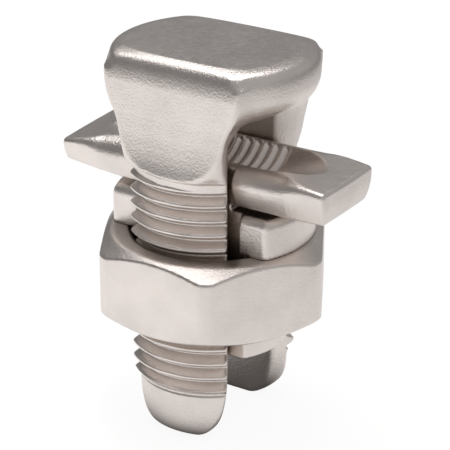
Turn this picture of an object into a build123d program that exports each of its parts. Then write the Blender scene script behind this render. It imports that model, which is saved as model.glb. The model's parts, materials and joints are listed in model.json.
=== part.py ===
from build123d import *
import math
import os

os.makedirs("parts", exist_ok=True)

# Split-bolt connector with a spacer, in millimetres.
# Z runs along the bolt, from the leg tips (z = 0) up to the flat top of the head.
# X is the direction of the two conductors, and the legs stand apart along Y.

# Bolt: length and thread
bolt_l = 36.5
thread_d = 15.875
thread_pitch = 25.4 / 18
thread_depth = 0.87
thread_root_w = 0.22
thread_mouth_w = 0.96
thread_crest_z = 19.871
thread_low_z = 3.9
thread_high_z = bolt_l - 11.6
plain_depth = 0.66
plain_z = 4.4

# Bolt: the two legs and the slot between them
slot_w = 7.8
slot_top_z = bolt_l - 6.1
slot_corner_r = 0.9
leg_w_outer = 10.3
leg_w_inner = 7.8
leg_side_depth = 2.15
leg_arc_share = 0.36
tip_flat_w = 2.6
tip_h = 5.6
neck_z = bolt_l - 11.2
neck_w = 15.8
neck_mid_z = bolt_l - 9.8
neck_mid_d = 17.2
neck_flare_z = bolt_l - 8.3
neck_flare_d = 18.0
flat_low_z = bolt_l - 10.0
flat_low_w = 15.2
flat_high_z = bolt_l - 6.0
shoulder_z = bolt_l - 10.3
shoulder_mid_z = bolt_l - 6.5
shoulder_mid_w = 11.2
shoulder_high_z = bolt_l - 4.5
shoulder_high_w = 12.8
shoulder_join_z = bolt_l - 2.7
shoulder_join_w = 13.4

# Bolt: the head
head_d = 19.2
head_flat_w = 14.5
head_top_d = 18.0
head_top_w = 12.2
head_roll_z = bolt_l - 1.5
head_rim_high_z = bolt_l - 1.4
head_rim_low_z = bolt_l - 3.1
head_under_z = bolt_l - 4.85
head_under_d = 16.8
head_under_x = 4.3
head_under_slope = 0.36
head_inner_d = 14.0

# Nut
nut_across_flats = 20.2
nut_corner_d = 22.66
nut_face_d = 19.2
nut_h = 7.75
nut_low_z = 11.1
nut_chamfer_deg = 30.0
nut_turn_deg = -1.0
thread_play = 0.10
nut_mouth = 0.5

# Pressure bar
bar_h = 3.75
bar_d = 18.8
bar_w = 8.9
bar_top_r = 0.95
bar_corner_r = 1.0
bar_leg_play = 0.35
pad_h = 0.6
pad_l = 8.4
hub_bore_gap = 1.14
hub_low_z = 8.0
hub_edge = 0.5

# Spacer bar
spacer_l = 28.2
spacer_body_l = 20.4
spacer_h = 3.8
spacer_w_low = 7.7
spacer_w_high = 9.3
spacer_side_h = 2.3
spacer_tip_drop = 0.55
spacer_leg_play = 0.36
spacer_corner_r = 0.9
groove_r = 3.7
groove_depth = 1.75
groove_l = 14.6
groove_end_x = 10.5
toothed_l = 13.0
tooth_pitch = 1.0
tooth_depth = 0.4
tooth_half_w = 2.9
slide_play = 0.15

# What follows from the values above, heights from the pieces resting on each other
thread_r = thread_d / 2
plain_r = thread_r - plain_depth
root_r = thread_r - thread_depth
bore_r = thread_r + thread_play
hub_r = bore_r - hub_bore_gap
slot_half = slot_w / 2
web_half = slot_half - slide_play
side_slope = (leg_w_outer - leg_w_inner) / 2 / leg_side_depth
bar_notch_x = leg_w_outer / 2 + bar_leg_play
spacer_reach = spacer_w_high / 2 - slot_half
spacer_notch_x = leg_w_inner / 2 + side_slope * spacer_reach + spacer_leg_play
nut_top_z = nut_low_z + nut_h
bar_top_z = nut_top_z + bar_h
spacer_low_z = bar_top_z + pad_h
spacer_top_z = spacer_low_z + spacer_h
big = 40.0


def turned(points):
    """A solid turned about Z from an outline of (radius, height) points."""
    return revolve(Plane.XZ * make_face(Polyline(*points, close=True)), Axis.Z)


def across(plane, points, half_length):
    """A prism with the given outline, run both ways from the plane."""
    return extrude(plane * make_face(Polyline(*points, close=True)), half_length, both=True)


def bolt_head():
    """The round cap, flat at front and back, sloping up from the slot underneath."""
    r = head_d / 2
    low = slot_top_z
    top = bolt_l
    inner = head_inner_d / 2
    under = (head_under_d / 2, head_under_z)
    edges = [
        Line((0, low), (inner, low)),
        Line((inner, low), under),
        TangentArc((r, head_rim_low_z), under, tangent=(0, -1)),
        Line((r, head_rim_low_z), (r, head_rim_high_z)),
        TangentArc((r, head_rim_high_z), (head_top_d / 2, top), tangent=(0, 1)),
        Line((head_top_d / 2, top), (0, top)),
        Line((0, top), (0, low)),
    ]
    cap = revolve(Plane.XZ * make_face(edges), Axis.Z)
    rise = (r - head_under_x) * head_under_slope
    right = [(head_under_x, low), (r, low + rise), (r, top + 1)]
    left = [(-x, z) for x, z in reversed(right)]
    return cap & across(Plane.XZ, right + left, head_flat_w / 2) & head_roll()


def head_roll():
    """The head seen along X: its front and back roll over into the flat top."""
    h = head_flat_w / 2
    t = head_top_w / 2
    low = slot_top_z - 1
    top = bolt_l
    edges = [
        Line((-h, low), (h, low)),
        Line((h, low), (h, head_roll_z)),
        TangentArc((h, head_roll_z), (t, top), tangent=(0, 1)),
        Line((t, top), (-t, top)),
        TangentArc((-h, head_roll_z), (-t, top), tangent=(0, 1)),
        Line((-h, head_roll_z), (-h, low)),
    ]
    return extrude(Plane.YZ * make_face(edges), head_d, both=True)


def leg_turning():
    """What the lathe leaves of the shank: plain tip, length for the thread, and flaring neck."""
    return turned(
        [
            (0, 0),
            (plain_r, 0),
            (plain_r, plain_z),
            (thread_r, plain_z + plain_depth),
            (thread_r, neck_z),
            (neck_mid_d / 2, neck_mid_z),
            (neck_flare_d / 2, neck_flare_z),
            (head_d / 2, shoulder_join_z),
            (0, shoulder_join_z),
        ]
    )


def leg_sides():
    """The shank seen along Y: rounded tips, straight sides, widening a little under the head."""
    a = leg_w_outer / 2
    t = tip_flat_w / 2
    right = [
        (a, tip_h),
        (a, shoulder_z),
        (shoulder_mid_w / 2, shoulder_mid_z),
        (shoulder_high_w / 2, shoulder_high_z),
        (shoulder_join_w / 2, shoulder_join_z),
    ]
    left = [(-x, z) for x, z in reversed(right)]
    edges = [
        Line((-t, 0), (t, 0)),
        EllipticalCenterArc((t, tip_h), a - t, tip_h, start_angle=270, arc_size=90),
        Polyline(*right, *left),
        EllipticalCenterArc((-t, tip_h), a - t, tip_h, start_angle=180, arc_size=90),
    ]
    return extrude(Plane.XZ * make_face(edges), big, both=True)


def leg_flats():
    """The shank seen along X: flat faces above the thread, drawing in towards the head."""
    right = [
        (big, -1),
        (big, neck_z - 0.1),
        (neck_w / 2, neck_z),
        (neck_w / 2, flat_low_z - 0.1),
        (flat_low_w / 2, flat_low_z),
        (head_flat_w / 2, flat_high_z),
        (head_flat_w / 2, shoulder_join_z),
    ]
    left = [(-y, h) for y, h in reversed(right)]
    return across(Plane.YZ, right + left, big)


def side_slants():
    """The four wedges that narrow the legs towards the slot."""
    inner_y = slot_half - 1.0
    outer_y = slot_half + leg_side_depth + 1.2
    inner_x = leg_w_inner / 2 - side_slope
    outer_x = inner_x + side_slope * (outer_y - inner_y)
    cuts = None
    for sx in (1, -1):
        for sy in (1, -1):
            outline = [(inner_x, inner_y), (outer_x, outer_y), (big, outer_y), (big, inner_y)]
            outline = [(sx * x, sy * y) for x, y in outline]
            face = make_face(Polyline(*outline, close=True))
            wedge = extrude(Plane.XY.offset(-1) * face, slot_top_z + 0.6, dir=(0, 0, 1))
            cuts = wedge if cuts is None else cuts + wedge
    return cuts


def slot_cut():
    """The conductor slot, open at the bottom, with small corner radii at its top."""
    h = slot_half
    face = make_face(Polyline((-h, -2), (h, -2), (h, slot_top_z), (-h, slot_top_z), close=True))
    tops = face.vertices().sort_by(Axis.Y)[-2:]
    return extrude(Plane.YZ * fillet(tops, slot_corner_r), big, both=True)


def thread_cuts():
    """The thread's groove as short helical cuts, one for each turn on each leg."""
    path = Helix(thread_pitch, leg_arc_share * thread_pitch, root_r)
    reach = 1.4 * thread_depth
    root = thread_root_w / 2
    mouth = root + (thread_mouth_w - thread_root_w) / 2 * reach / thread_depth
    outline = Polyline((0, -root), (reach, -mouth), (reach, mouth), (0, root), close=True)
    plane = Plane(origin=path @ 0, x_dir=(1, 0, 0), z_dir=path % 0)
    groove = sweep(plane * make_face(outline), path=path, is_frenet=True)
    cuts = []
    for middle in (90, 270):
        first_z = thread_crest_z + thread_pitch * (0.5 + middle / 360)
        lowest = math.ceil((thread_low_z - first_z) / thread_pitch)
        highest = math.floor((thread_high_z - first_z) / thread_pitch)
        for turn in range(lowest, highest + 1):
            z = first_z + (turn - leg_arc_share / 2) * thread_pitch
            cuts.append(Pos(0, 0, z) * Rot(0, 0, middle - 180 * leg_arc_share) * groove)
    return cuts


def make_split_bolt():
    """One forging: head and two legs, turned, slotted and rounded at the tips."""
    shank = leg_turning() & leg_sides() & leg_flats()
    shank = shank - side_slants()
    body = bolt_head() + shank
    return (body - slot_cut()) - thread_cuts()


def make_hex_nut():
    """Hexagon nut, its corners turned off, with a 30 degree chamfer on both faces."""
    hexagon = extrude(RegularPolygon(nut_across_flats / 2, 6, major_radius=False), nut_h)
    rise = (nut_corner_d - nut_face_d) / 2 * math.tan(math.radians(nut_chamfer_deg))
    r = nut_corner_d / 2
    f = nut_face_d / 2
    turning = turned([(0, 0), (f, 0), (r, rise), (r, nut_h - rise), (f, nut_h), (0, nut_h)])
    m = nut_mouth
    bore = turned(
        [
            (0, -1),
            (bore_r + m, -1),
            (bore_r + m, 0),
            (bore_r, m),
            (bore_r, nut_h - m),
            (bore_r + m, nut_h),
            (bore_r + m, nut_h + 1),
            (0, nut_h + 1),
        ]
    )
    nut = (hexagon & turning) - bore
    return Pos(0, 0, nut_low_z) * Rot(0, 0, nut_turn_deg) * nut


def leg_notches(x, low_z, high_z):
    """What has to go from a bar so that it can slide between the legs."""
    cuts = None
    for s in (1, -1):
        block = Pos(0, s * (web_half + big / 2), (low_z + high_z) / 2)
        block = block * Box(2 * x, big, high_z - low_z + 2)
        cuts = block if cuts is None else cuts + block
    return cuts


def make_pressure_bar():
    """Bar with round ends that lies on the nut, and the guide hub under it."""
    r = bar_d / 2
    disc = turned([(0, nut_top_z), (r, nut_top_z), (r, bar_top_z), (0, bar_top_z)])
    bar = disc & Pos(0, 0, nut_top_z) * Box(big, bar_w, big)
    bar = fillet(bar.edges().filter_by(Axis.Z), bar_corner_r)
    rim = bar.faces().sort_by(Axis.Z)[-1].edges()
    bar = fillet(rim, bar_top_r)
    bar = bar - leg_notches(bar_notch_x, nut_top_z, bar_top_z)
    pad = Pos(0, 0, bar_top_z + (pad_h - 0.5) / 2) * Box(pad_l, 2 * web_half, pad_h + 0.5)
    low = hub_low_z
    high = nut_top_z + 0.5
    hub = turned([(0, low), (hub_r - hub_edge, low), (hub_r, low + hub_edge), (hub_r, high), (0, high)])
    hub = hub & Box(big, 2 * web_half, 3 * bolt_l)
    return bar + pad + hub


def spacer_outline():
    """Cross-section of the wings: sides leaning out, rounded shoulders."""
    a = spacer_w_low / 2
    b = spacer_w_high / 2
    z0 = spacer_low_z
    z1 = spacer_low_z + spacer_side_h
    z2 = spacer_top_z
    half = [(a, z0), (b, z1), (b - 0.5, z2)]
    other = [(-y, z) for y, z in reversed(half)]
    face = make_face(Polyline(*half, *other, close=True))
    tops = face.vertices().sort_by(Axis.Y)[-2:]
    face = fillet(tops, 1.0)
    return extrude(Plane.YZ * face, spacer_l / 2, both=True)


def spacer_side_view():
    """The spacer seen along Y: level body, lower tips, rounded lower ends."""
    b = spacer_body_l / 2
    e = spacer_l / 2
    z0 = spacer_low_z
    z2 = spacer_top_z
    t = z2 - spacer_tip_drop
    right = [(e - 1.6, z0), (e, z0 + 0.55), (e, t - 0.25), (b + 0.7, t), (b - 0.2, z2)]
    left = [(-x, z) for x, z in reversed(right)]
    return across(Plane.XZ, right + left, big)


def spacer_plan():
    """The spacer seen from above, with its four end corners rounded."""
    plate = Pos(0, 0, spacer_low_z) * Box(spacer_l, spacer_w_high, 3 * spacer_h)
    uprights = plate.edges().filter_by(Axis.Z)
    return fillet(uprights, spacer_corner_r)


def groove_cut():
    """The round conductor groove, its floor rising to the top at both ends."""
    z = spacer_top_z - groove_depth + groove_r
    cut = Pos(0, 0, z) * Rot(0, 90, 0) * Cylinder(groove_r, groove_l)
    start = groove_l / 2
    run = groove_end_x - start
    for s in (1, -1):
        face = Plane(origin=(s * start, 0, z), z_dir=(s, 0, 0)) * Circle(groove_r)
        high = (s * (start + 1.2 * run), 0, z + 1.2 * groove_depth)
        end = Plane(origin=high, z_dir=(s, 0, 0)) * Circle(groove_r)
        cut = cut + loft([face, end])
    return cut


def groove_teeth():
    """V cuts across the groove that grip the conductor."""
    count = int(toothed_l / tooth_pitch)
    z = spacer_top_z - groove_depth + groove_r
    r = groove_r
    half = 0.42 * tooth_pitch
    lift = 0.1
    plane = Plane(origin=(0, 0, z), x_dir=(0, 0, -1), z_dir=(0, -1, 0))
    cuts = None
    for i in range(count):
        x = (i - (count - 1) / 2) * tooth_pitch
        outline = [(r - lift, x - half), (r + tooth_depth, x), (r - lift, x + half)]
        face = make_face(Polyline(*outline, close=True))
        ring = revolve(plane * face, Axis((0, 0, z), (1, 0, 0)))
        cuts = ring if cuts is None else cuts + ring
    return cuts & Pos(0, 0, z - groove_r) * Box(big, 2 * tooth_half_w, 2 * spacer_h)


def make_spacer_bar():
    """Winged separator between the two conductors, grooved and toothed on top."""
    bar = spacer_outline() & spacer_side_view() & spacer_plan()
    bar = bar - leg_notches(spacer_notch_x, spacer_low_z, spacer_top_z)
    bar = bar - groove_cut()
    return bar - groove_teeth()


nodes = {
    "split_bolt": make_split_bolt,
    "hex_nut": make_hex_nut,
    "pressure_bar": make_pressure_bar,
    "spacer_bar": make_spacer_bar,
}

for name, make in nodes.items():
    solid = make()
    if len(solid.solids()) == 1:
        solid = solid.solids()[0]
    export_step(solid, f"parts/{name}.step")
    box = solid.bounding_box()
    print(name, len(solid.solids()), round(solid.volume, 1), box.min, box.max)
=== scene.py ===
# %% [markdown]
# # A tin-plated split-bolt connector
# This lesson dresses a small electrical connector: a split bolt with a round-ended head, a hexagon
# nut, a pressure bar and a winged spacer. All four pieces are forged or pressed copper alloy with a
# satin tin plate, so the looks come from soft forging blends, crisp threads and one good metal.
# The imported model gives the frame: every size and place below agrees with it.

# %% Load the frame
import json
import math
import bmesh
import bpy
import numpy as np
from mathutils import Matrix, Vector

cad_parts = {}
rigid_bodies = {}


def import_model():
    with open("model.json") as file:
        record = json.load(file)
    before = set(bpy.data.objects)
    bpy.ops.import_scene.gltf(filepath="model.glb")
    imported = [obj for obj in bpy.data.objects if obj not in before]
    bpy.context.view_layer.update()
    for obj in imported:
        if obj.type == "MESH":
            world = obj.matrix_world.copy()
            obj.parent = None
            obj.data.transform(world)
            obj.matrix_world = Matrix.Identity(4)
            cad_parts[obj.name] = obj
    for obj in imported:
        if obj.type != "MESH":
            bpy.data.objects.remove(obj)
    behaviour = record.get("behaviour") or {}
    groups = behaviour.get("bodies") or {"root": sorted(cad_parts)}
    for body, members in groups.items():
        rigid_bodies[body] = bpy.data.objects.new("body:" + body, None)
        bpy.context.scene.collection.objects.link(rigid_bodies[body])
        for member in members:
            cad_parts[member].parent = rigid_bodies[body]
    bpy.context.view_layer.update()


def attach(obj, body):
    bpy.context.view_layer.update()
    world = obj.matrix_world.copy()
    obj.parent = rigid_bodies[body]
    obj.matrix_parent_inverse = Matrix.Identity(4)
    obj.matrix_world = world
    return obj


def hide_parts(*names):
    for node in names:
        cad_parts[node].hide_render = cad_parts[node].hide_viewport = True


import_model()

# %% [markdown]
# ## Describing a forging by distances
# A forged piece has hardly a sharp edge: every face runs into the next over a small radius. Boxes
# with bevels fight against that. Instead each piece is written as a distance field, a function that
# is negative inside the metal and positive outside. Joining two shapes is a minimum, cutting one by
# another is a maximum, and rounding the corner of that maximum gives the forging radius.
# All lengths in these functions are millimetres.

# %% Rounded joins and cuts
def round_max(a, b, radius):
    """Both at once: the common part of two shapes, its edge rounded by radius."""
    u = np.maximum(a + radius, 0)
    v = np.maximum(b + radius, 0)
    return np.minimum(-radius, np.maximum(a, b)) + np.hypot(u, v)


def round_min(a, b, radius):
    """Either one: two shapes joined, the inner corner filled by radius."""
    return -round_max(-a, -b, radius)


def through(pairs, fine=6):
    """A smooth line through a few measured points, as a finer list of points."""
    p = np.array(pairs, float)
    ends = np.vstack([2 * p[0] - p[1], p, 2 * p[-1] - p[-2]])
    out = []
    for i in range(1, len(ends) - 2):
        a, b, c, d = ends[i - 1:i + 3]
        for t in np.linspace(0, 1, fine, endpoint=False):
            out.append(0.5 * (2 * b + (c - a) * t + (2 * a - 5 * b + 4 * c - d) * t**2
                              + (3 * b - a - 3 * c + d) * t**3))
    out.append(p[-1])
    return np.array(out)


def profile(pairs, fine=8):
    """A smooth half width over height that never swings past its measured points."""
    z, w = np.array(pairs, float).T
    rise = np.diff(w) / np.diff(z)
    both = rise[:-1] * rise[1:]
    calm = np.where(both > 0, 2 * both / np.where(both > 0, rise[:-1] + rise[1:], 1), 0)
    lean = np.concatenate([rise[:1], calm, rise[-1:]])
    t = np.linspace(0, 1, fine, endpoint=False)
    out = []
    for i, gap in enumerate(np.diff(z)):
        h = (w[i] * (1 + 2 * t) * (1 - t)**2 + w[i + 1] * t * t * (3 - 2 * t)
             + gap * (lean[i] * t * (1 - t)**2 - lean[i + 1] * t * t * (1 - t)))
        out.append(np.stack([z[i] + gap * t, h], 1))
    return np.vstack(out + [[[z[-1], w[-1]]]])


def outline_distance(points, a, b):
    """Distance in a plane to a closed outline, negative inside it."""
    pts = np.array(points, float)
    near = np.full(np.shape(a), 1e9)
    inside = np.zeros(np.shape(a), bool)
    for p, q in zip(pts, np.roll(pts, -1, axis=0)):
        e = q - p
        wa = a - p[0]
        wb = b - p[1]
        t = np.clip((wa * e[0] + wb * e[1]) / max(e @ e, 1e-12), 0, 1)
        near = np.minimum(near, (wa - e[0] * t) ** 2 + (wb - e[1] * t) ** 2)
        if p[1] != q[1]:
            inside ^= ((p[1] > b) != (q[1] > b)) & (wa < e[0] * wb / e[1])
    return np.where(inside, -1, 1) * np.sqrt(near)


# %% [markdown]
# ## Skinning a distance field
# A grid of small cells is laid over the piece. Every cell that the surface crosses gets one point,
# and every grid edge that it crosses gets one quad between the four cells around it. The points are
# evened out and moved onto the exact surface, so the mesh is closed, even and smooth.

# %% Skin
def settle(field, points, rounds=2, eps=0.01, most=0.2):
    """Moves points along the field's slope until they lie on the surface."""
    for _ in range(rounds):
        value = field(*points.T)
        slope = [field(*(points + e).T) - field(*(points - e).T) for e in np.eye(3) * eps]
        slope = np.stack(slope, 1) / (2 * eps)
        step = value / np.maximum((slope * slope).sum(1), 0.2)
        points = points - slope * np.clip(step, -most, most)[:, None]
    return points


def even_out(points, quads):
    """Moves each point halfway to the middle of its neighbours."""
    a = quads.ravel()
    b = np.roll(quads, -1, axis=1).ravel()
    ends, other = np.concatenate([a, b]), np.concatenate([b, a])
    count = np.bincount(ends, minlength=len(points))
    mean = [np.bincount(ends, points[other, k], len(points)) / count for k in range(3)]
    return 0.5 * points + 0.5 * np.stack(mean, 1)


def skin(field, low, high, step):
    """Points and quads of the surface where the field is zero."""
    axes = [np.arange(a, b + s, s) for a, b, s in zip(low, high, step)]
    value = field(*np.meshgrid(*axes, indexing="ij"))
    solid = value < 0
    cells = tuple(n - 1 for n in value.shape)
    total = np.zeros(cells + (3,))
    count = np.zeros(cells)
    rings = []
    for a in range(3):
        b, c = (a + 1) % 3, (a + 2) % 3
        first = tuple(slice(0, -1) if k == a else slice(None) for k in range(3))
        second = tuple(slice(1, None) if k == a else slice(None) for k in range(3))
        hit = np.argwhere(solid[first] != solid[second])
        v0 = value[first][tuple(hit.T)]
        v1 = value[second][tuple(hit.T)]
        point = np.stack([axes[k][hit[:, k]] for k in range(3)], 1)
        point[:, a] += step[a] * v0 / (v0 - v1)
        ring = []
        for db, dc in ((-1, -1), (0, -1), (0, 0), (-1, 0)):
            cell = hit.copy()
            cell[:, b] += db
            cell[:, c] += dc
            np.add.at(total, tuple(cell.T), point)
            np.add.at(count, tuple(cell.T), 1)
            ring.append(cell)
        ring = np.stack(ring, 1)
        outward = v0 < 0
        rings.append(np.where(outward[:, None, None], ring, ring[:, ::-1]))
    number = np.full(cells, -1)
    used = count > 0
    number[used] = np.arange(used.sum())
    points = total[used] / count[used][:, None]
    quads = np.concatenate([number[tuple(np.moveaxis(r, -1, 0))] for r in rings])
    for _ in range(3):
        points = settle(field, even_out(points, quads))
    return points, quads


# %% [markdown]
# The points become a plain mesh, in metres from here on. Where a modifier has worked on a piece, its
# result is baked into the mesh.

# %% Meshes and objects
MM = 0.001


def shade(mesh, crease_deg=50):
    """Shades a mesh smooth and keeps its edges crisp where they turn by more than crease_deg."""
    mesh.shade_smooth()
    mesh.set_sharp_from_angle(angle=math.radians(crease_deg))


def add_piece(name, points, faces):
    """A smooth-shaded object at the origin from points in millimetres."""
    mesh = bpy.data.meshes.new(name)
    mesh.from_pydata((np.asarray(points) * MM).tolist(), [], [list(map(int, f)) for f in faces])
    mesh.validate()
    shade(mesh)
    piece = bpy.data.objects.new(name, mesh)
    bpy.context.collection.objects.link(piece)
    return piece


def bake(piece):
    """Turns an object's modifiers into plain mesh and takes them off."""
    bpy.context.view_layer.update()
    shown = piece.evaluated_get(bpy.context.evaluated_depsgraph_get())
    mesh = bpy.data.meshes.new_from_object(shown)
    piece.modifiers.clear()
    old = piece.data
    piece.data = mesh
    bpy.data.meshes.remove(old)


# %% [markdown]
# ## A small kit for node trees
# The metal, the floor, the sky and the threads are all trees of nodes. This kit adds a node, feeds a
# socket with a number or with another node's output, and writes sums and ranges in one line each.

# %% Node trees
class Wires:
    """Adds nodes to a tree and joins them, with short arithmetic."""

    def __init__(self, tree):
        self.tree = tree

    def node(self, kind, **settings):
        """A new node with its settings."""
        node = self.tree.nodes.new(kind)
        for key, value in settings.items():
            setattr(node, key, value)
        return node

    def put(self, value, socket):
        """Feeds a socket with a number, or with another node's output."""
        if hasattr(value, "links"):
            self.tree.links.new(value, socket)
        else:
            socket.default_value = value

    def math(self, operation, *values):
        """One sum, as the socket that holds its result."""
        node = self.node("ShaderNodeMath", operation=operation)
        for value, socket in zip(values, node.inputs):
            self.put(value, socket)
        return node.outputs[0]

    def length(self, a, b):
        """The length of a line from its two sides."""
        return self.math("SQRT", self.math("ADD", self.math("MULTIPLY", a, a), self.math("MULTIPLY", b, b)))

    def ramp(self, value, low, high, start, stop):
        """Runs evenly from start to stop while value goes from low to high."""
        node = self.node("ShaderNodeMapRange")
        for v, socket in zip((value, low, high, start, stop), node.inputs):
            self.put(v, socket)
        return node.outputs[0]

    def parts(self, vector):
        """The X, Y and Z of a vector."""
        node = self.node("ShaderNodeSeparateXYZ")
        self.put(vector, node.inputs[0])
        return node.outputs


# %% [markdown]
# ## The tin plate
# Hot-tinned or electro-tinned copper is a warm silver with a satin finish: the reflections of floor
# and lamp are wide and soft, with a fine grain in them like very fine sandpaper. Three noise
# textures do this on Object coordinates, so the grain stays on the metal: one slowly varies the
# tone, one the roughness, and a fine one gives the bump. Shade is painted into the colour: an Ambient
# Occlusion node mixes in a darker brown tone in the recesses, as in the thread and under the wings.

# %% The metal
TONE_SCALE, ROUGH_SCALE, GRAIN_SCALE = 260, 1500, 5200
TONE_STOPS, TONE_SHARES = (0.3, 0.7), (0.93, 1.05)
GRAIN_HEIGHT = 0.06 * MM
# Painted shade: how far the occlusion looks, the range over which it darkens, and the darker tone's shares
# of the colour.
SHELTER_REACH = 4 * MM
PAINTED_SHADE_RANGE = (0.15, 0.6)
PAINTED_SHADE_SHARES = (0.55, 0.51, 0.47)


def tin_plate(name, tone=(0.80, 0.735, 0.695), rough=0.31, grain=0.6):
    """A satin tin finish from nodes, with shade painted into its recesses."""
    mat = bpy.data.materials.new(name)
    mat.use_nodes = True
    w = Wires(mat.node_tree)
    shader = mat.node_tree.nodes["Principled BSDF"]
    shader.inputs["Metallic"].default_value = 1.0
    where = w.node("ShaderNodeTexCoord").outputs["Object"]

    def noise(scale, detail):
        node = w.node("ShaderNodeTexNoise")
        node.inputs["Scale"].default_value = scale
        node.inputs["Detail"].default_value = detail
        w.put(where, node.inputs["Vector"])
        return node.outputs["Fac"]

    tones = w.node("ShaderNodeValToRGB")
    for stop, place, share in zip(tones.color_ramp.elements, TONE_STOPS, TONE_SHARES):
        stop.position = place
        stop.color = (*[min(c * share, 1) for c in tone], 1)
    w.put(noise(TONE_SCALE, 4), tones.inputs["Fac"])
    # Painted shade: where the occlusion finds a recess, the base colour turns to the darker brown tone.
    shelter = w.node("ShaderNodeAmbientOcclusion", samples=8)
    shelter.inputs["Distance"].default_value = SHELTER_REACH
    painted_shade = w.node("ShaderNodeMix", data_type="RGBA")
    w.put(w.ramp(shelter.outputs["AO"], *PAINTED_SHADE_RANGE, 0.0, 1.0), painted_shade.inputs[0])
    painted_shade.inputs[6].default_value = (*[c * share for c, share in zip(tone, PAINTED_SHADE_SHARES)], 1)
    w.put(tones.outputs["Color"], painted_shade.inputs[7])
    w.put(painted_shade.outputs[2], shader.inputs["Base Color"])

    w.put(w.ramp(noise(ROUGH_SCALE, 5), 0.0, 1.0, rough - 0.05, rough + 0.09), shader.inputs["Roughness"])

    bump = w.node("ShaderNodeBump")
    bump.inputs["Strength"].default_value = grain
    bump.inputs["Distance"].default_value = GRAIN_HEIGHT
    w.put(noise(GRAIN_SCALE, 3), bump.inputs["Height"])
    w.put(bump.outputs["Normal"], shader.inputs["Normal"])
    return mat


tin = tin_plate("tin_plate")
print("metal", tin.name)

# %% [markdown]
# ## The split bolt: head and necks
# The head is a thick disc with its front and back pressed flat. Its top edges roll over, its
# underside slopes up from the slot to the rim, and both legs grow out of it with generous blends.
# SLOT is half the slot's width, and LEAN says how far the legs' side faces lean. One crest of the
# thread passes height CREST_Z at CREST_TURN degrees. Head and legs meet at SEAM.
# RIM is the outline of the disc, turned about the bolt's axis, and ROLL that of its pressed sides.
# The others give a half width by height: the legs' sides, where those start to lean, the legs' round
# and their flat front.

# %% Sizes of the forging
SLOT = 3.9
SLOT_TOP = 30.4
HEAD_TOP = 36.5
THREAD_R = 7.9375
ROOT_R = 7.07
PITCH = 25.4 / 18
CREST_Z, CREST_TURN = 19.36, -130.3
LEAN = 1.25 / 2.15
SEAM = 26.45
UNDER_START, UNDER_SLOPE = 4.3, 0.36
NECK_TOP = 35
RIM_CLOSER = 0.3
BACK_ROLL, BACK_ROLL_START = 0.12, 35

RIM = through([(0, 37.3), (4, 36.95), (6.5, 36.68), (7.95, 36.5), (8.65, 36.38), (9.05, 36.22),
               (9.3, 35.98), (9.5, 35.6), (9.6, 35.1), (9.61, 34.4), (9.52, 33.55), (9.15, 32.65),
               (8.45, 31.95), (7.3, 31.3), (5, 30.5), (0, 29.9)])
RIM = np.vstack([[-4, 37.3], RIM, [-4, 29.9]])
ROLL = through([(0, 39.2), (4.6, 37.0), (5.75, 36.5), (6.3, 36.25), (6.65, 35.97), (6.9, 35.6),
                (7.07, 35.15), (7.18, 34.65), (7.24, 34.2), (7.25, 33.7), (7.25, 30.5)])
ROLL = np.vstack([[-2, 39.3], ROLL, [-2, 30.5]])
SIDE = profile([(0, 1.5), (0.12, 1.95), (0.5, 2.8), (1.0, 3.4), (1.7, 3.95), (2.6, 4.4), (3.6, 4.8),
                (4.6, 5.08), (5.8, 5.22), (7, 5.25), (15, 5.25), (24, 5.23), (26.2, 5.2), (28, 5.33),
                (30, 5.65), (31, 6.0), (32, 6.55), (33, 6.95), (34.5, 7.2), (38, 7.3)])
EDGE = profile([(0, 1.5), (0.3, 2.1), (0.62, 2.42), (1.3, 2.92), (2.07, 3.3), (3.33, 3.65),
                (4.68, 3.9), (6, 4.0), (8, 4.02), (28, 4.0), (29.6, 4.1), (31, 5.2), (38, 12)])
TURN = profile([(0, 6.1), (0.25, 6.55), (0.7, 6.9), (1.3, 7.1), (2.2, 7.2), (3.2, 7.23), (4.6, 7.25),
                (5.1, 7.5), (5.6, 7.9), (6.0, 7.93), (25.0, 7.93), (25.5, 7.98), (26.2, 8.3),
                (27.0, 8.7), (28.2, 9.0), (30, 9.5), (33, 10), (38, 10)])
FLAT = profile([(0, 7.97), (25.7, 7.95), (26.2, 7.88), (26.6, 7.77), (27.2, 7.62), (28.2, 7.45),
                (29.5, 7.32), (31.5, 7.25), (38, 7.25)])


# %% The forging as one field
def slant(x, y, start):
    """The leg's side face, which leans in towards the slot."""
    return (np.abs(x) - start - LEAN * (np.abs(y) - SLOT)) / math.hypot(1, LEAN)


def shank_field(x, y, z):
    """Legs and necks: round outside, side faces that lean in, rounded at the tips."""
    side = np.abs(x) - np.interp(z, *SIDE.T)
    sides = round_max(side, slant(x, y, np.interp(z, *EDGE.T)), 0.2)
    return round_max(sides, np.hypot(x, y) - np.interp(z, *TURN.T), np.interp(z, [24, 28.5], [0.22, 0.5]))


def leg_field(x, y, z):
    """One leg of the forging before the thread is rolled on; its last 0.35 mm is rounded off."""
    body = round_max(shank_field(x, y, z), np.abs(y) - np.interp(z, *FLAT.T), 0.22)
    body = round_max(body, SLOT - np.abs(y), 0.2)
    return body + 0.2 * (np.maximum(0.35 - z, 0) / 0.35) ** 2


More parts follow.
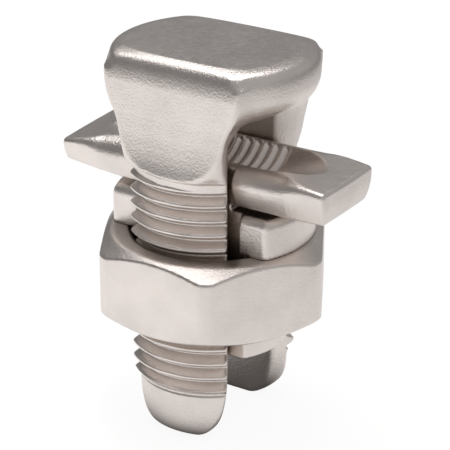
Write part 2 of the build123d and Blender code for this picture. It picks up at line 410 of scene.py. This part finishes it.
def head_field(x, y, z):
    """Head and necks of the split bolt; the rim lies a little closer on the left, as forged."""
    closer = RIM_CLOSER * np.clip(-x / 8, 0, 1) * np.clip((HEAD_TOP - 0.1 - z) / 1.4, 0, 1)
    under = (SLOT_TOP + UNDER_SLOPE * (np.abs(x) - UNDER_START) - z) / math.hypot(1, UNDER_SLOPE)
    cap = round_max(outline_distance(RIM, np.hypot(x, y) + closer, z), under, 0.5)
    blend = 0.35 + 0.5 * np.clip((np.abs(x) - 5.2) / 1.5, 0, 1)
    body = round_min(cap, np.maximum(shank_field(x, y, z), z - NECK_TOP), blend)
    flat = np.abs(y) - np.interp(z, *FLAT.T)
    behind = BACK_ROLL * np.clip(y, 0, 1) * np.clip((z - BACK_ROLL_START) / 1.5, 0, 1)
    flat = np.where(z > 31, outline_distance(ROLL, np.abs(y) - behind, z), flat)
    body = round_max(body, flat, np.interp(z, [28, 31], [0.22, 0.35]))
    body = round_max(body, -round_max(np.abs(y) - SLOT, z - SLOT_TOP, 0.9), 0.2)
    return np.maximum(np.maximum(body, z - HEAD_TOP), SEAM - 0.6 - z)


head_points, head_quads = skin(head_field, (-10.1, -8.1, SEAM - 0.9), (10.1, 8.1, 36.9),
                               (0.17, 0.17, 0.165))
print("head and necks:", len(head_quads), "quads")

# %% [markdown]
# ## The split bolt: two legs
# A leg is a stack of rings. Each ring is found by looking outwards from the middle of the leg in every
# direction until the forging's field turns positive. Where the thread will be, the rings are tilted
# to follow its helix, and they lie close together at the crest and at the root, so that the thread
# comes out crisp. Near the corners of the leg the points of a ring are closer too.
# CORE is how far a leg's middle line lies from the bolt's axis. PHASES are the rings' places from a
# crest to the next root, in pitches. The top rings end inside the head.

# %% Leg blanks
CORE = 5.6
PHASES = (0, 0.04, 0.07, 0.10, 0.14, 0.20, 0.27, 0.34, 0.39, 0.43, 0.5)
MID_LEG = 15.0
RING_POINTS = 90
TIP_END, NECK_START = 4.0, 25.85


def leg_rays(turn, z):
    """Distance from the leg's middle to its surface, for arrays of direction and height."""
    near, far = np.zeros(z.shape), np.full(z.shape, 7.0)
    for _ in range(34):
        mid = (near + far) / 2
        inside = leg_field(mid * np.cos(turn), CORE + mid * np.sin(turn), z) < 0
        near, far = np.where(inside, mid, near), np.where(inside, far, mid)
    return near


def leg_turns():
    """Directions for one ring: even steps, with more at bends and on the thread's end corners."""
    turn = np.linspace(0, 2 * np.pi, 1441)[:-1]
    dist = leg_rays(turn, np.full(turn.shape, MID_LEG))
    flat = np.stack([dist * np.cos(turn), CORE + dist * np.sin(turn)], 1)
    step = np.roll(flat, -1, axis=0) - flat
    bend = np.unwrap(np.arctan2(step[:, 1], step[:, 0]))
    bend = np.abs(np.diff(bend, append=bend[-1]))
    corner = (np.hypot(*flat.T) > 6.9) & (np.abs(flat[:, 0]) > 4.4)
    way = np.cumsum(np.linalg.norm(step, axis=1) * (1 + 1.8 * corner) + 0.35 * bend)
    return np.interp(np.linspace(0, way[-1], RING_POINTS + 1)[:-1], way, turn)


def leg_heights(middle):
    """Ring heights on the leg's middle line: even at both ends, following the thread between."""
    first = CREST_Z + PITCH * (middle - CREST_TURN) / 360
    steps = sorted({f for f in PHASES} | {1 - f for f in PHASES})[:-1]
    thread = [first + PITCH * (k + f) for k in range(-12, 6) for f in steps]
    tip = [0, 0.04, 0.1, 0.18, 0.3, 0.45, 0.65, 0.9, *np.arange(1.2, TIP_END, 0.25)]
    neck = [*np.arange(NECK_START + 0.05, SEAM - 0.05, 0.1), SEAM, SEAM + 0.01, SEAM + 0.4]
    return np.array(tip + [z for z in thread if TIP_END < z < NECK_START] + neck)


def leg_blank(side):
    """Points and faces of one leg, for side +1 at the rear and -1 at the front."""
    turn = leg_turns()
    heights = leg_heights(90.0 * side)
    n = len(turn)
    start = leg_rays(turn, np.full(n, MID_LEG))
    polar = np.arctan2(CORE + start * np.sin(turn), start * np.cos(turn)) - math.pi / 2
    share = np.interp(heights, [2.0, 4.4, 24.6, SEAM - 0.1], [0, 1, 1, 0])
    z = heights[:, None] + PITCH * side * polar[None, :] / (2 * math.pi) * share[:, None]
    dist = leg_rays(np.broadcast_to(turn, z.shape), z)
    dist = dist - 0.06 * (heights[:, None] > SEAM)
    x = dist * np.cos(turn)
    y = CORE + dist * np.sin(turn)
    points = np.stack([x, side * y, z], -1).reshape(-1, 3)
    faces = [list(range(n))[::-1], [len(points) - n + i for i in range(n)]]
    for k in range(len(heights) - 1):
        a = k * n
        faces += [[a + i, a + (i + 1) % n, a + n + (i + 1) % n, a + n + i] for i in range(n)]
    if side < 0:
        faces = [f[::-1] for f in faces]
    return points, faces


leg_points, leg_faces = [], []
for side in (-1, 1):
    points, faces = leg_blank(side)
    leg_faces += [[i + len(leg_points) for i in f] for f in faces]
    leg_points += points.tolist()
legs = add_piece("legs", leg_points, leg_faces)
print("legs:", len(leg_faces), "faces")

# %% [markdown]
# A thread follows a rule, so Geometry Nodes make it. The tree works out how far each point is along
# the helix, from its height and its angle about the bolt. That gives the radius of the thread there:
# crest, leaning flank and root with softened corners, a little wear, and a run-out at each end.
# Points outside that radius are moved in to it, on the leg towards the leg's middle, so that its side
# faces stay flat. The nut takes the same tree the other way round, with a little play, so that the
# two threads mesh.
# A flank is FLANK pitches long and ends FLANK_END pitches from the middle of the crest. CORNER softens
# both its ends. At the tip the thread runs out over RUN_OUT pitches, to a plain round that stands
# TIP_SHARE of the thread's depth above its root. Above the thread the limit opens by NECK_OUT, so that
# the neck stays as forged.

# %% Geometry Nodes trees
class Tree(Wires):
    """A Geometry Nodes tree with named inputs."""

    def __init__(self, name, sizes):
        super().__init__(bpy.data.node_groups.new(name, "GeometryNodeTree"))
        face = self.tree.interface
        face.new_socket("Geometry", in_out="INPUT", socket_type="NodeSocketGeometry")
        face.new_socket("Geometry", in_out="OUTPUT", socket_type="NodeSocketGeometry")
        self.ids = {}
        for label, value in sizes.items():
            socket = face.new_socket(label, in_out="INPUT", socket_type="NodeSocketFloat")
            socket.default_value = value
            self.ids[label] = socket.identifier
        self.start = self.node("NodeGroupInput")
        self.end = self.node("NodeGroupOutput")

    def move(self, picked, x, y, z, material):
        """Ends the tree: moves the picked points to x, y, z and paints the piece."""
        join = self.node("ShaderNodeCombineXYZ")
        for value, socket in zip((x, y, z), join.inputs):
            self.put(value, socket)
        shift = self.node("GeometryNodeSetPosition")
        self.put(self.start.outputs[0], shift.inputs["Geometry"])
        self.put(picked, shift.inputs["Selection"])
        self.put(join.outputs[0], shift.inputs["Position"])
        real = self.node("GeometryNodeRealizeInstances")
        paint = self.node("GeometryNodeSetMaterial")
        self.put(shift.outputs[0], real.inputs[0])
        self.put(real.outputs[0], paint.inputs["Geometry"])
        self.put(material, paint.inputs["Material"])
        self.put(paint.outputs[0], self.end.inputs[0])
        return self


def run_tree(piece, made, sizes):
    """Puts a tree on a piece, sets its inputs by identifier and bakes the result."""
    modifier = piece.modifiers.new(made.tree.name, "NODES")
    modifier.node_group = made.tree
    for label, value in sizes.items():
        modifier[made.ids[label]] = value
    bake(piece)
    shade(piece.data)


# %% The thread's radius
FLANK_END, FLANK = 0.43, 0.36
CORNER = 0.14
RUN_OUT = 0.9
TIP_SHARE = 0.24
NECK_RISE, NECK_OUT = 0.6 * MM, 1.0 * MM
WEAR_SCALE = 900


def thread_radius(t, place, x, y, z):
    """The radius of the threaded surface at a place: crest, flanks, root, run-outs and wear."""
    size = t.start.outputs
    angle = t.math("ADD", t.math("DIVIDE", t.math("ARCTAN2", y, x), 2 * math.pi), size["Crest turn"])
    along = t.math("DIVIDE", t.math("SUBTRACT", z, size["Crest height"]), size["Pitch"])
    phase = t.math("SUBTRACT", along, angle)
    away = t.math("ABSOLUTE", t.math("SUBTRACT", phase, t.math("ROUND", phase)))
    flank = t.math("MULTIPLY_ADD", away, -1 / FLANK, FLANK_END / FLANK)
    shape = t.math("SMOOTH_MAX", t.math("SMOOTH_MIN", flank, 1.0, CORNER), 0.0, CORNER)
    groove = t.math("ADD", t.math("ADD", t.math("FLOOR", phase), 0.5), angle)
    centre = t.math("MULTIPLY_ADD", groove, size["Pitch"], size["Crest height"])
    shape = t.math("MAXIMUM", shape, t.ramp(centre, size["Fade start"], size["Fade end"], 0.0, 1.0))
    full = t.math("MULTIPLY_ADD", shape, size["Depth"], size["Root radius"])
    neck = t.math("ADD", size["Fade end"], NECK_RISE)
    full = t.math("ADD", full, t.ramp(z, size["Fade end"], neck, 0.0, NECK_OUT))
    run = t.math("ADD", size["Low end"], t.math("MULTIPLY", size["Pitch"], RUN_OUT))
    low = t.ramp(z, size["Low end"], run, 0.0, 1.0)
    plain = t.math("MULTIPLY_ADD", size["Depth"], TIP_SHARE, size["Root radius"])
    mixed = t.math("ADD", t.math("MULTIPLY", full, low),
                   t.math("MULTIPLY", plain, t.math("SUBTRACT", 1.0, low)))
    rough = t.node("ShaderNodeTexNoise")
    t.put(place, rough.inputs["Vector"])
    rough.inputs["Scale"].default_value = WEAR_SCALE
    rough.inputs["Detail"].default_value = 2
    wear = t.math("MULTIPLY", t.math("SUBTRACT", rough.outputs[0], 0.75), size["Wear"])
    return t.math("ADD", t.math("ADD", mixed, wear), size["Play"])


# %% The thread tree
def thread_tree(name, inner):
    """Rolls a thread onto the legs, or cuts one into a nut when inner is true."""
    t = Tree(name, {"Pitch": 0.00141, "Root radius": 0.007, "Depth": 0.0008, "Crest height": 0.01936,
                    "Crest turn": 0.36, "Low end": 0.004, "Fade start": 0.0254, "Fade end": 0.0259,
                    "Reach": 0.009, "Core": 0.0056, "Wear": 0.00002, "Play": 0.0})
    size = t.start.outputs
    place = t.node("GeometryNodeInputPosition").outputs[0]
    x, y, z = t.parts(place)
    r = t.length(x, y)
    target = thread_radius(t, place, x, y, z)
    if inner:
        factor = t.math("DIVIDE", t.math("MAXIMUM", r, target), r)
        picked = t.math("LESS_THAN", r, size["Reach"])
        return t.move(picked, t.math("MULTIPLY", x, factor), t.math("MULTIPLY", y, factor), z, tin)
    core = t.math("MULTIPLY", t.math("SIGN", y), size["Core"])
    out = t.math("SUBTRACT", y, core)
    far = t.length(x, out)
    lean = t.math("DIVIDE", t.math("MULTIPLY", core, out), far)
    room = t.math("SUBTRACT", t.math("MULTIPLY", target, target), t.math("MULTIPLY", core, core))
    room = t.math("SQRT", t.math("ADD", t.math("MULTIPLY", lean, lean), room))
    factor = t.math("MINIMUM", t.math("DIVIDE", t.math("SUBTRACT", room, lean), far), 1.0)
    picked = t.math("GREATER_THAN", r, size["Root radius"])
    return t.move(picked, t.math("MULTIPLY", x, factor), t.math("MULTIPLY_ADD", out, factor, core), z, tin)


rolled = thread_tree("rolled_thread", inner=False)
thread_sizes = {"Pitch": PITCH * MM, "Root radius": ROOT_R * MM, "Depth": (THREAD_R - ROOT_R) * MM,
                "Crest height": CREST_Z * MM, "Crest turn": -CREST_TURN / 360, "Low end": 3.9 * MM,
                "Fade start": 25.45 * MM, "Fade end": 25.95 * MM, "Core": CORE * MM, "Wear": 0.03 * MM,
                "Play": 0.0}
run_tree(legs, rolled, thread_sizes)
print("threaded legs:", len(legs.data.polygons), "faces")

# %% [markdown]
# The real bolt is one forging, so head and legs become one closed shell: the head's mesh is cut off
# level at the seam, and a Boolean modifier welds the legs to it.

# %% Join head and legs
def cut_level(piece, height):
    """Cuts a closed mesh off below a height and closes the cut."""
    work = bmesh.new()
    work.from_mesh(piece.data)
    whole = work.verts[:] + work.edges[:] + work.faces[:]
    cut = bmesh.ops.bisect_plane(work, geom=whole, plane_co=(0, 0, height * MM), plane_no=(0, 0, 1),
                                 clear_inner=True)
    rim = [e for e in cut["geom_cut"] if isinstance(e, bmesh.types.BMEdge)]
    bmesh.ops.holes_fill(work, edges=rim)
    work.to_mesh(piece.data)
    work.free()


def join_solid(piece, other):
    """Welds two closed shapes into one shell."""
    modifier = piece.modifiers.new("weld", "BOOLEAN")
    modifier.operation = "UNION"
    modifier.solver = "MANIFOLD"
    modifier.object = other
    bake(piece)
    bpy.data.objects.remove(other)
    shade(piece.data)


split_bolt = add_piece("split_bolt_forging", head_points, head_quads)
split_bolt.data.materials.append(tin)
cut_level(split_bolt, SEAM)
join_solid(split_bolt, legs)
print("split bolt:", len(split_bolt.data.polygons), "faces")

# %% [markdown]
# ## The nut
# A hexagon whose six corners are turned off to a slightly smaller round, with a 30 degree chamfer on
# both faces. The chamfer's cone meets the flats in six arcs, which come by themselves when cone and
# hexagon are both written as distances.

# %% Nut
NUT_LOW, NUT_HIGH = 11.1, 18.85
NUT_FLAT, NUT_CORNER = 10.1, 11.33
NUT_TURN = math.radians(-1)
CHAMFER_R = 9.6
CHAMFER_UP, CHAMFER_OUT = 0.866, 0.5
BORE_R = 7.16
MOUTH, MOUTH_SLOPE = 0.9, 0.95


def nut_field(x, y, z):
    """The hexagon with its chamfers and its bore, before the thread is cut."""
    u = x * math.cos(NUT_TURN) + y * math.sin(NUT_TURN)
    v = y * math.cos(NUT_TURN) - x * math.sin(NUT_TURN)
    r = np.hypot(x, y)
    flats = np.abs(v) - NUT_FLAT
    for deg in (60, 120):
        c, s = math.cos(math.radians(deg)), math.sin(math.radians(deg))
        flats = round_max(flats, np.abs(v * c - u * s) - NUT_FLAT, 0.1)
    hexagon = round_max(flats, r - NUT_CORNER, 0.15)
    faces = np.abs(z - (NUT_LOW + NUT_HIGH) / 2) - (NUT_HIGH - NUT_LOW) / 2
    cone = faces * CHAMFER_UP + (r - CHAMFER_R) * CHAMFER_OUT
    body = round_max(round_max(hexagon, cone, 0.12), faces, 0.1)
    mouth = np.maximum(MOUTH + faces, 0) * MOUTH_SLOPE
    return np.maximum(body, BORE_R + mouth - r)


nut_points, nut_quads = skin(nut_field, (-11.8, -11.8, 10.8), (11.8, 11.8, 19.1), (0.23, 0.23, 0.14))
hex_nut = add_piece("hexagon_nut", nut_points, nut_quads)
hex_nut.data.materials.append(tin)
run_tree(hex_nut, thread_tree("cut_thread", inner=True),
         {**thread_sizes, "Low end": 0.0, "Fade start": 1.0, "Fade end": 2.0, "Wear": 0.01 * MM,
          "Play": 0.08 * MM, "Reach": 8.1 * MM})
print("nut:", len(hex_nut.data.polygons), "faces")

# %% [markdown]
# ## The pressure bar
# A bar with round ends lies on the nut and pushes the conductors up. Its web fits the slot between
# the legs, shoulders keep it from turning, and a hub reaches down through the nut. The pad on top
# and the hub both end inside the bar, at the height INSIDE_BAR.

# %% Pressure bar
BAR_R, BAR_HALF, BAR_TOP = 9.4, 4.45, 22.6
WEB = 3.75
WEB_END = 5.5
PAD_END, PAD_RISE = 4.2, 0.6
HUB_R, HUB_LOW = 6.9, 8.0
INSIDE_BAR = 20


def bar_field(x, y, z):
    """Bar, pad on top and hub below; pad and hub are as thin as the web between the legs."""
    r = np.hypot(x, y)
    ends = round_max(r - BAR_R, np.abs(y) - BAR_HALF, 0.35)
    bar = round_max(round_max(ends, z - BAR_TOP, 0.95), NUT_HIGH - z, 0.12)
    beside = round_max(np.abs(x) - WEB_END, WEB - np.abs(y), 0.12)
    bar = round_max(bar, -beside, 0.15)
    pad = round_max(np.abs(x) - PAD_END, z - BAR_TOP - PAD_RISE, 0.15)
    pad = np.maximum(round_max(pad, np.abs(y) - WEB, 0.15), INSIDE_BAR - z)
    hub = round_max(r - HUB_R, HUB_LOW - z, 0.45)
    hub = np.maximum(round_max(hub, np.abs(y) - WEB, 0.2), z - INSIDE_BAR)
    return round_min(round_min(bar, pad, 0.1), hub, 0.05)


bar_points, bar_quads = skin(bar_field, (-9.8, -4.9, 7.7), (9.8, 4.9, 23.5), (0.17, 0.17, 0.17))
pressure_bar = add_piece("round_ended_bar", bar_points, bar_quads)
pressure_bar.data.materials.append(tin)
print("bar:", len(bar_quads), "quads")

# %% [markdown]
# ## The spacer
# The spacer keeps the two conductors apart. Seen from the end, its sides lean outwards and roll over
# at the top. A round groove runs along it and rises out of the metal like the bowl of a spoon.
# The left wing is a little thinner below, and its near edge lower, as it came from the forge.
# SIDES is the half width by height. WING_TOP and SHOULDER give the height of the top and the radius
# of its edges by distance from the middle.

# %% Spacer
SPACER_LOW, SPACER_HIGH = 23.2, 27.0
SPACER_END, SPACER_HALF = 14.1, 4.6
LEG_NOTCH = 4.7
GROOVE_R = 3.7
GROOVE_Z = SPACER_HIGH - 1.75 + GROOVE_R
RUN_OUT_START, RUN_OUT_SLOPE = 7.4, 0.17
SIDES = profile([(23.2, 3.95), (24.0, 4.25), (24.8, 4.48), (25.4, 4.58), (25.9, 4.62), (28, 4.62)])
WING_TOP = profile([(0, 27.0), (8.6, 27.0), (9.6, 26.95), (10.5, 26.84), (11.5, 26.68), (12.8, 26.5),
                    (14.1, 26.33), (16, 26.08)])
SHOULDER = profile([(0, 1.9), (8, 1.9), (9.5, 1.7), (10.6, 1.1), (11.6, 0.7), (13, 0.5), (16, 0.4)])


def groove_axis(x):
    """Height of the conductor's centre line over the spacer, rising at the run-outs."""
    out = np.abs(x) - RUN_OUT_START
    return GROOVE_Z + RUN_OUT_SLOPE * (np.sqrt(out * out + 0.9) + out)


def spacer_field(x, y, z):
    """The winged bar with its groove and its notches for the legs, before the teeth."""
    ax, ay = np.abs(x), np.abs(y)
    left = np.clip((-x - 7) / 7, 0, 1)
    near = np.clip((SPACER_HALF - y) / (2 * SPACER_HALF), 0, 1)
    taper = 0.06 * np.maximum(ax - 10.2, 0)
    side = (ay - np.interp(z, *SIDES.T) + taper) * 0.97
    top = np.interp(ax, *WING_TOP.T) - 0.5 * left * near
    body = round_max(side, z - top, np.interp(ax, *SHOULDER.T))
    toe = ax - SPACER_END + 0.09 * np.maximum(25.2 - z, 0) ** 2 + 0.005 * ay * ay
    body = round_max(body, toe, 0.3)
    body = round_max(body, SPACER_LOW + 0.6 * left - z, 0.2)
    notch = round_max(ax - LEG_NOTCH, WEB - ay, 0.1)
    body = round_max(body, -notch, 0.12)
    groove = np.hypot(y, z - groove_axis(x)) - GROOVE_R
    return round_max(body, -groove, 0.12)


spacer_points, spacer_quads = skin(spacer_field, (-14.6, -5.0, 22.9), (14.6, 5.0, 27.4),
                                   (0.125, 0.14, 0.14))
spacer = add_piece("winged_spacer", spacer_points, spacer_quads)
spacer.data.materials.append(tin)
print("spacer:", len(spacer_quads), "quads")

# %% [markdown]
# The groove's teeth repeat, so Geometry Nodes make them too. Points on the groove's wall are pushed
# down into the metal by a row of V shapes along the spacer.

# %% The teeth tree
def teeth_tree():
    """Presses a row of V teeth into the groove's wall."""
    t = Tree("groove_teeth", {"Pitch": 0.001, "Depth": 0.0004, "Length": 0.013, "Groove radius": 0.0037,
                              "Axis height": 0.029, "Rim height": 0.0268})
    size = t.start.outputs
    x, y, z = t.parts(t.node("GeometryNodeInputPosition").outputs[0])
    up = t.math("SUBTRACT", z, size["Axis height"])
    away = t.length(y, up)
    step = t.math("DIVIDE", x, size["Pitch"])
    off = t.math("ABSOLUTE", t.math("SUBTRACT", step, t.math("ROUND", step)))
    notch = t.ramp(off, 0.0, 0.42, 1.0, 0.0)
    inside = t.math("LESS_THAN", t.math("ABSOLUTE", x), t.math("MULTIPLY", size["Length"], 0.5))
    wall = t.math("LESS_THAN", away, t.math("ADD", size["Groove radius"], 0.02 * MM))
    below = t.math("SUBTRACT", size["Rim height"], 0.3 * MM)
    push = t.math("MULTIPLY", t.math("MULTIPLY", notch, size["Depth"]),
                  t.ramp(z, below, size["Rim height"], 1.0, 0.0))
    factor = t.math("DIVIDE", t.math("ADD", away, push), away)
    return t.move(t.math("MULTIPLY", inside, wall), x, t.math("MULTIPLY", y, factor),
                  t.math("ADD", size["Axis height"], t.math("MULTIPLY", up, factor)), tin)


run_tree(spacer, teeth_tree(), {"Pitch": 1.0 * MM, "Depth": 0.4 * MM, "Length": 13.0 * MM,
                                "Groove radius": GROOVE_R * MM, "Axis height": GROOVE_Z * MM,
                                "Rim height": 26.9 * MM})
print("toothed spacer:", len(spacer.data.polygons), "faces")

# %% [markdown]
# ## Onto the frame
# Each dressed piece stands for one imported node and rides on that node's body, so it moves with it.

# %% Ride and replace
for piece, node, body in ((split_bolt, "split_bolt", "bolt"), (hex_nut, "hex_nut", "nut"),
                          (pressure_bar, "pressure_bar", "bar"), (spacer, "spacer_bar", "spacer")):
    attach(piece, body)
    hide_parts(node)
    triangles = sum(len(p.vertices) - 2 for p in piece.data.polygons)
    print(piece.name, "rides on", body, "with", triangles, "triangles")

# %% [markdown]
# ## Floor and light
# Metal shows what is around it more than its own colour. The floor is a white sweep that the upright
# faces reflect. It glows for them, with light and shade painted into the glow: it falls off with
# distance and towards the right, and a painted shadow right under the object keeps the lower edges
# dark. The camera itself sees it plain white, with the shadow.
# A soft lamp hangs above and behind on the left. The room is darker on the left and overhead, which
# draws the dark band along the head's rolled edge, and lighter near the horizon in front.

# %% Floor
def floor_material():
    """Matt white that glows a little, so the background stays white and the shadow soft."""
    mat = bpy.data.materials.new("white_sweep")
    mat.use_nodes = True
    mat.node_tree.nodes.clear()
    w = Wires(mat.node_tree)
    matt = w.node("ShaderNodeBsdfDiffuse")
    matt.inputs["Color"].default_value = (0.9, 0.89, 0.88, 1)
    glow = w.node("ShaderNodeEmission")
    path = w.node("ShaderNodeLightPath").outputs
    x, y, _ = w.parts(w.node("ShaderNodeTexCoord").outputs["Object"])
    away = w.length(x, y)
    # Painted shadow and light for the mirrors: the glow nearly stops right under the object and falls off
    # with distance and towards the right.
    painted_contact_shadow = w.ramp(away, 0.006, 0.011, 0.06, 1.0)
    painted_falloff = w.ramp(w.math("ADD", away, w.math("MULTIPLY", y, 0.5)), 0.09, 0.28, 1.12, 0.24)
    across = w.ramp(w.math("ADD", x, w.math("MULTIPLY", y, 0.6)), -0.05, 0.10, 1.08, 0.66)
    mirrored = w.math("MULTIPLY", w.math("MULTIPLY", painted_contact_shadow, painted_falloff), across)
    w.put(w.math("MAXIMUM", w.math("MULTIPLY", path["Is Camera Ray"], 1.08), mirrored),
          glow.inputs["Strength"])
    seen = w.math("MAXIMUM", path["Is Camera Ray"], path["Is Transmission Ray"])
    mirror = w.math("MULTIPLY", path["Is Glossy Ray"], 0.75)
    mix = w.node("ShaderNodeMixShader")
    w.put(w.math("MAXIMUM", w.math("MULTIPLY", seen, 0.85), mirror), mix.inputs[0])
    w.put(matt.outputs[0], mix.inputs[1])
    w.put(glow.outputs[0], mix.inputs[2])
    w.put(mix.outputs[0], w.node("ShaderNodeOutputMaterial").inputs["Surface"])
    return mat


FLOOR_HALF = 4
corners = [(FLOOR_HALF * i, FLOOR_HALF * j, 0) for i, j in ((-1, -1), (1, -1), (1, 1), (-1, 1))]
floor = bpy.data.objects.new("floor", bpy.data.meshes.new("floor"))
floor.data.from_pydata(corners, [], [(0, 1, 2, 3)])
floor.data.materials.append(floor_material())
bpy.context.collection.objects.link(floor)
print("floor", 2 * FLOOR_HALF, "m wide")

# %% World and lamp
world = bpy.data.worlds.new("studio")
bpy.context.scene.world = world
world.use_nodes = True
sky = Wires(world.node_tree)
back = world.node_tree.nodes["Background"]
across, ahead, above = sky.parts(sky.node("ShaderNodeTexCoord").outputs["Generated"])
sky.put(sky.ramp(across, -0.6, 0.6, 0.20, 0.42), back.inputs["Color"])
low = sky.ramp(above, 0.0, 0.25, 1.0, 0.0)
front = sky.ramp(ahead, 0.2, -0.5, 0.0, 1.0)
sky.put(sky.math("MULTIPLY_ADD", low, front, 1.0), back.inputs["Strength"])

LAMP_PLACE, LAMP_SIZE, LAMP_POWER = (-0.09, 0.08, 0.40), (0.36, 0.32), 0.86
light = bpy.data.lights.new("overhead", "AREA")
light.shape = "RECTANGLE"
light.size, light.size_y = LAMP_SIZE
light.energy = LAMP_POWER
lamp = bpy.data.objects.new("overhead", light)
lamp.location = LAMP_PLACE
lamp.rotation_euler = Vector((0, 0.0001, -0.4)).to_track_quat("-Z", "Y").to_euler()
bpy.context.collection.objects.link(lamp)
print("world and lamp set")

# %% [markdown]
# ## Camera
# The camera's place and direction were solved from the photograph: it looks down on the connector
# from the front, turned to the left, through a long lens.

# %% Camera
AZIMUTH, ELEVATION = math.radians(32.94), math.radians(23.48)
camera = bpy.data.objects.new("camera", bpy.data.cameras.new("camera"))
camera.data.lens = 156.0
camera.data.sensor_width = 36.0
camera.data.clip_start = 0.01
camera.location = (0.09059, -0.13802, 0.09052)
look = Vector((-math.sin(AZIMUTH) * math.cos(ELEVATION), math.cos(AZIMUTH) * math.cos(ELEVATION),
               -math.sin(ELEVATION)))
camera.rotation_euler = look.to_track_quat("-Z", "Y").to_euler()
bpy.context.collection.objects.link(camera)
bpy.context.scene.camera = camera
bpy.context.scene.view_settings.view_transform = "Standard"
print("camera at", [round(v, 4) for v in camera.location])
